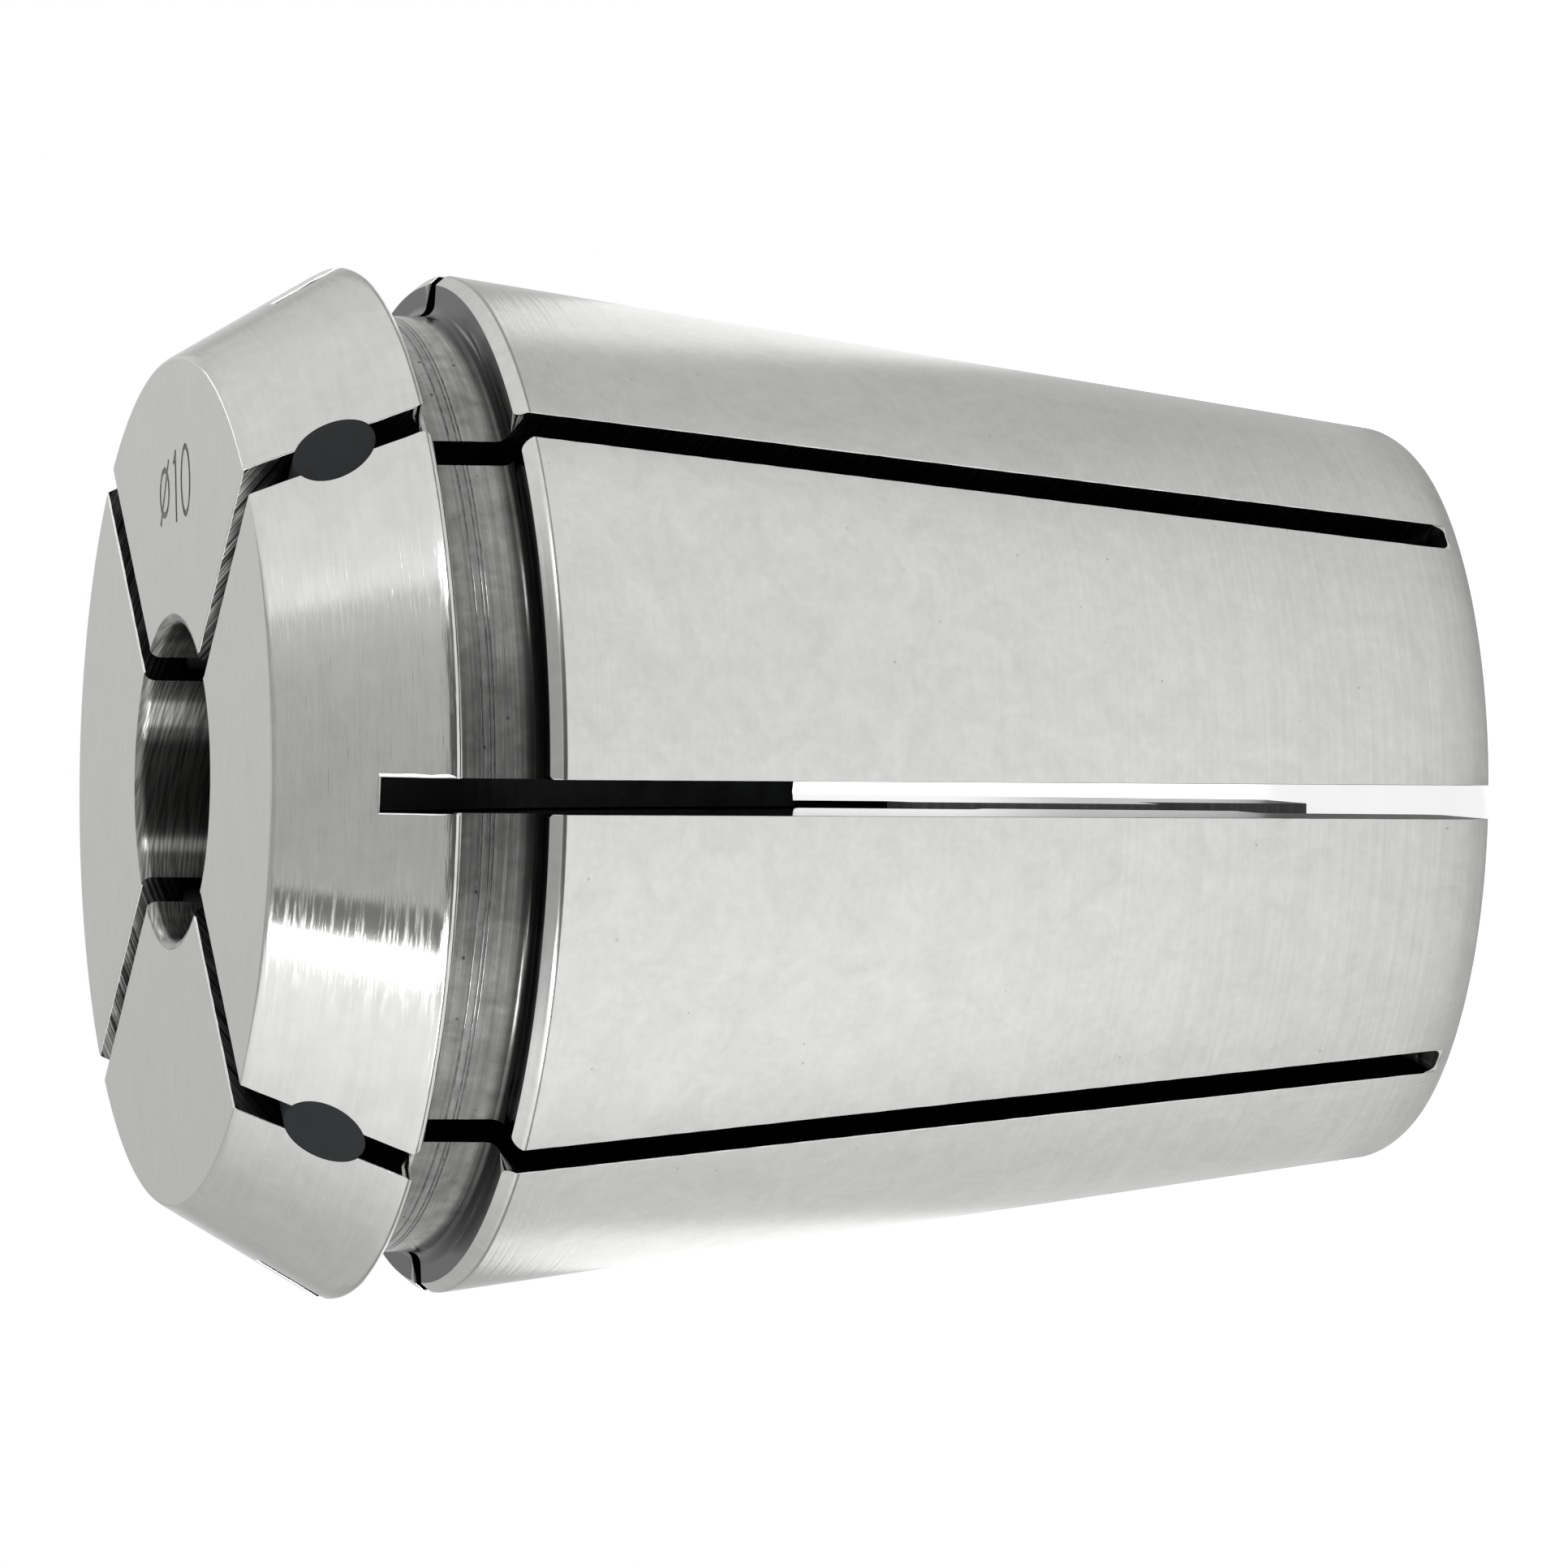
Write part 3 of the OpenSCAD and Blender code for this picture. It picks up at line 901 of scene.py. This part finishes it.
def true_normals(mesh):
    """Gives every turned face the exact normals of its section, so that nothing looks faceted.

    Broken edges and worn corners have no section, and are smoothed where their facets meet softly.
    """
    # A face lies on a stretch of the section this near to it, and at a cosine above this one
    near_section = 0.03
    same_way = 0.9
    soft_edge = 0.75
    mesh.shade_smooth()
    mesh.update()
    centre = np.empty(len(mesh.polygons) * 3)
    flat = np.empty(len(mesh.polygons) * 3)
    mesh.polygons.foreach_get("center", centre)
    mesh.polygons.foreach_get("normal", flat)
    centre, flat = centre.reshape(-1, 3), flat.reshape(-1, 3)
    free_slots = {mesh.materials.find(FINISHES[name].name) for name in ("edge", "corner")}
    start, end, first, second = (np.array([p[k] for p in section]) for k in (1, 2, 3, 4))
    length = np.sum((end - start) ** 2, axis=1)
    co = np.empty(len(mesh.vertices) * 3)
    mesh.vertices.foreach_get("co", co)
    co = co.reshape(-1, 3)
    normals = np.zeros((len(mesh.loops), 3))
    for polygon in mesh.polygons:
        if polygon.material_index in free_slots:
            continue
        c, n = centre[polygon.index], flat[polygon.index]
        radius = math.hypot(c[0], c[1])
        spot = np.array((radius, c[2]))
        t = np.clip(np.sum((spot - start) * (end - start), axis=1) / length, 0, 1)
        gap = np.linalg.norm(start + t[:, None] * (end - start) - spot, axis=1)
        section_normal = np.array(((n[0] * c[0] + n[1] * c[1]) / radius, n[2]))
        fitting = np.where((gap < near_section) & (first @ section_normal > same_way))[0]
        k = fitting[np.argmin(gap[fitting])] if len(fitting) else None
        for loop in polygon.loop_indices:
            vertex = mesh.loops[loop].vertex_index
            normal = n
            if k is not None:
                v = co[vertex]
                vr = math.hypot(v[0], v[1])
                s = np.clip(np.dot(np.array((vr, v[2])) - start[k], end[k] - start[k]) / length[k], 0, 1)
                m = first[k] * (1 - s) + second[k] * s
                normal = np.array((m[0] * v[0] / vr, m[0] * v[1] / vr, m[1]))
            normals[loop] = normal / np.linalg.norm(normal)
    free = [polygon for polygon in mesh.polygons if polygon.material_index in free_slots]
    around = {}
    for polygon in free:
        weighted = polygon.area * flat[polygon.index]
        for vertex in polygon.vertices:
            around.setdefault((vertex, polygon.material_index), []).append(weighted)
    for polygon in free:
        n = flat[polygon.index]
        for loop in polygon.loop_indices:
            facing = around[(mesh.loops[loop].vertex_index, polygon.material_index)]
            near = [m for m in facing if np.dot(m, n) > soft_edge * np.linalg.norm(m)]
            normal = sum(near, n * 1e-9)
            normals[loop] = normal / np.linalg.norm(normal)
    mesh.normals_split_custom_set([tuple(n) for n in normals])


body = machined_collet()
true_normals(body.data)
body.data.transform(Matrix.Scale(MM, 4))
body.data.update()
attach(body, "root")
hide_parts("collet_body")


# Rubber plugs

def rubber_plug(index):
    """One plug: a cylinder whose end follows the nose cone, with a small rounding at its rim."""
    around = 64
    rim = 0.04
    side = [(plug_r, share, rim) for share in (0.0, 0.5, 0.75, 0.9, 1.0)]
    end = [(plug_r - rim * 0.3, 1.0, rim * 0.3)]
    end += [(plug_r * share, 1.0, 0.0) for share in (0.966, 0.8, 0.55, 0.3)]
    bm = bmesh.new()
    rings = []
    for radius, share, sink in side + end:
        ring = []
        for v, w in circle(radius, around):
            z = body_l - plug_place + w
            top = math.sqrt(cone_r(z) ** 2 - v * v) - sink
            ring.append(bm.verts.new((plug_inner_r + (top - plug_inner_r) * share, v, z)))
        rings.append(ring)
    for lower, upper in zip(rings, rings[1:]):
        for k in range(around):
            n = (k + 1) % around
            bm.faces.new((lower[k], lower[n], upper[n], upper[k]))
    bm.faces.new(rings[0][::-1])
    bm.faces.new(rings[-1])
    bmesh.ops.recalc_face_normals(bm, faces=bm.faces)
    mesh = bpy.data.meshes.new("rubber_plug_%d" % (index + 1))
    bm.to_mesh(mesh)
    bm.free()
    mesh.materials.append(RUBBER)
    mesh.shade_smooth()
    mesh.transform(Matrix.Scale(MM, 4) @ Matrix.Rotation((index + 0.5) * math.tau / SLOTS, 4, "Z"))
    obj = placed(mesh.name, mesh)
    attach(obj, "root")
    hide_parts("seal_plug_%d" % (index + 1))


RUBBER = seal_rubber()
for index in range(SLOTS):
    rubber_plug(index)


# Floor: a pale round table top; for metal it also glows with painted light behind the collet and a little
# in front

def floor():
    table_r = 0.095
    camera_glow = 0.88
    material, tree, shader = surface("white_paper", 0.8, metallic=0.0)
    shader.inputs["Base Color"].default_value = linear("#c8c8c8")
    shader.inputs["Emission Color"].default_value = linear("#ffffff")
    rays = add(tree, "ShaderNodeLightPath", output=None)
    place = add(tree, "ShaderNodeTexCoord", output="Object")
    x, y, _ = add(tree, "ShaderNodeSeparateXYZ", {0: place}, output=None)

    # Painted light that only metal sees: a glow at the front, the back and the left side, each growing
    # from a low to a high value
    lit = 0.0
    for way, start, end, low, high in [
            (y, 0.01, -0.03, 0.172, 0.472), (y, 0.03, 0.05, 0.0, 0.5), (x, 0.03, -0.04, 0.0, 0.14)]:
        part = add(tree, "ShaderNodeMapRange", {"Value": way, 1: start, 2: end, 3: low, 4: high},
                   interpolation_type="SMOOTHSTEP")
        lit = add(tree, "ShaderNodeMath", {0: part, 1: lit})

    # Painted shadow: the glow that metal sees is halved right beside the collet's foot
    painted_foot_shadow = add(tree, "ShaderNodeMapRange", {
        "Value": add(tree, "ShaderNodeVectorMath", {0: place}, operation="LENGTH", output="Value"),
        1: 0.0118, 2: 0.0145, 3: 0.5, 4: 1.0})
    lit = add(tree, "ShaderNodeMath", {0: lit, 1: painted_foot_shadow}, operation="MULTIPLY")
    glossy = add(tree, "ShaderNodeMath", {0: rays["Is Glossy Ray"], 1: lit}, operation="MULTIPLY")
    seen = add(tree, "ShaderNodeMath", {0: rays["Is Camera Ray"], 1: camera_glow, 2: glossy},
               operation="MULTIPLY_ADD")
    tree.links.new(seen, shader.inputs["Emission Strength"])
    bpy.ops.mesh.primitive_circle_add(vertices=96, radius=table_r, fill_type="NGON", location=(0, 0, 0))
    obj = bpy.context.object
    obj.name = "table_top"
    obj.data.materials.append(material)


floor()


# Surroundings: brightness by direction, as soft panels and a dark camera side give it

def brightness_by_azimuth(tree, azimuth, stops):
    """Grey values at azimuths in degrees, with even changes between them; 0 is the camera's side."""
    share = add(tree, "ShaderNodeMath", {0: azimuth, 1: 1 / math.tau, 2: 0.5}, operation="MULTIPLY_ADD")
    brightness = add(tree, "ShaderNodeValToRGB", {0: share})
    elements = brightness.node.color_ramp.elements
    while len(elements) < len(stops):
        elements.new(0.5)
    for element, (degrees, value) in zip(elements, stops):
        element.position = degrees / 360 + 0.5
        element.color = (value, value, value, 1)
    return brightness


def surroundings():
    world = bpy.data.worlds.new("studio")
    bpy.context.scene.world = world
    world.use_nodes = True
    tree = world.node_tree
    way = add(tree, "ShaderNodeTexCoord", output="Generated")
    x, y, z = add(tree, "ShaderNodeSeparateXYZ", {0: way}, output=None)
    towards = add(tree, "ShaderNodeMath", {0: y, 1: -1.0}, operation="MULTIPLY")
    azimuth = add(tree, "ShaderNodeMath", {0: x, 1: towards}, operation="ARCTAN2")
    height = add(tree, "ShaderNodeMath", {0: z}, operation="ARCSINE")
    upper = brightness_by_azimuth(tree, azimuth, [
        (-180, 0.68), (-172, 0.52), (-150, 0.55), (-128, 0.62), (-115, 0.76), (-92, 1.02), (-66, 1.18),
        (-54, 1.2), (-44, 0.7), (-41, 0.2), (-32, 0.2), (-31, 0.72), (-29, 0.54), (0, 0.53), (36, 0.6),
        (52, 0.72), (56, 1.15), (66, 1.0), (90, 0.91), (130, 0.87), (152, 0.68), (172, 0.8), (180, 0.68)])
    lower = brightness_by_azimuth(tree, azimuth, [
        (-180, 0.85), (-160, 0.5), (-140, 0.4), (-100, 0.3), (-50, 0.42), (-25, 0.15), (0, 0.1),
        (25, 0.15), (50, 0.35), (100, 0.35), (140, 0.45), (160, 0.5), (180, 0.85)])

    # The lower part reaches up to -3 degrees, and on the camera's side to 33, with a soft edge of 5
    front = brightness_by_azimuth(tree, azimuth, [
        (-180, 0), (-58, 0), (-38, 1), (38, 1), (58, 0), (180, 0)])
    rise = add(tree, "ShaderNodeMath", {0: front, 1: math.radians(36), 2: math.radians(-3)},
               operation="MULTIPLY_ADD")
    above = add(tree, "ShaderNodeMath", {0: rise, 1: math.radians(5)})
    lit = add(tree, "ShaderNodeMapRange", {"Value": height, 1: rise, 2: above},
              interpolation_type="SMOOTHSTEP")
    dome = add(tree, "ShaderNodeMix", {0: lit, 6: lower, 7: upper}, data_type="RGBA", output=2)

    # Above the panels a dimmer ring, and then a bright top
    for start, end, value in [(48, 58, 0.45), (70, 86, 0.8)]:
        past = add(tree, "ShaderNodeMapRange", {
            "Value": height, 1: math.radians(start), 2: math.radians(end)},
            interpolation_type="SMOOTHSTEP")
        dome = add(tree, "ShaderNodeMix", {0: past, 6: dome, 7: (value, value, value, 1)},
                   data_type="RGBA", output=2)
    rays = add(tree, "ShaderNodeLightPath", output=None)
    shown = add(tree, "ShaderNodeMix", {0: rays["Is Camera Ray"], 6: dome, 7: (1, 1, 1, 1)},
                data_type="RGBA", output=2)
    tree.links.new(shown, tree.nodes["Background"].inputs["Color"])


surroundings()


def softbox(name, azimuth, elevation, width, height, roll, radiance):
    """A soft lamp aimed at the collet's front face; sizes in metres, angles in degrees."""
    distance = 0.6
    a, e = math.radians(azimuth), math.radians(elevation)
    way = Vector((math.sin(a) * math.cos(e), -math.cos(a) * math.cos(e), math.sin(e)))
    lamp = bpy.data.lights.new(name, "AREA")
    lamp.shape = "RECTANGLE"
    lamp.size = width
    lamp.size_y = height
    lamp.energy = radiance * math.pi * width * height
    obj = placed(name, lamp)
    obj.location = Vector((0, 0, body_l * MM)) + way * distance
    turn = Matrix.Rotation(math.radians(roll), 3, "Z").to_quaternion()
    obj.rotation_euler = (way.to_track_quat("Z", "Y") @ turn).to_euler()


softbox("left_softbox", -46.5, 41, 0.042, 0.16, 6, 8.0)
softbox("left_strip", -37, 28, 0.09, 0.08, 0, 9.0)
softbox("low_left_softbox", -50, 12, 0.2, 0.12, 0, 13.0)
softbox("right_softbox", 49.5, 20, 0.09, 0.17, -6, 10.0)
softbox("far_softbox", 150, 30, 0.1, 0.3, 0, 2.0)


# Camera: the view of the photograph, with the collet's front to the left

def camera():
    """A pinhole camera, fitted to the outline, the slots' ends, and the rims of the bore and plugs."""
    tilt = math.radians(15.782)
    twist = math.radians(0.529)
    aside = math.radians(1.3)
    face_middle = Vector((-19.347, -0.07, 400.0))
    to_camera = Vector((math.sin(aside), -math.cos(aside), 0))
    down = Vector((0, 0, -1))
    side = Vector((-math.cos(aside), -math.sin(aside), 0))
    level = down * math.cos(tilt) + to_camera * math.sin(tilt)
    right = level * math.cos(twist) - side * math.sin(twist)
    image_down = level * math.sin(twist) + side * math.cos(twist)
    forward = down * math.sin(tilt) - to_camera * math.cos(tilt)
    offset = right * face_middle.x + image_down * face_middle.y + forward * face_middle.z
    data = bpy.data.cameras.new("camera")
    data.sensor_width = 36
    data.lens = 290.54
    data.clip_start = 0.01
    data.clip_end = 10
    obj = placed("camera", data)
    turn = Matrix((right, -image_down, -forward)).transposed().to_4x4()
    obj.matrix_world = Matrix.Translation((Vector((0, 0, body_l)) - offset) * MM) @ turn
    bpy.context.scene.camera = obj


camera()
bpy.context.scene.view_settings.view_transform = "Standard"
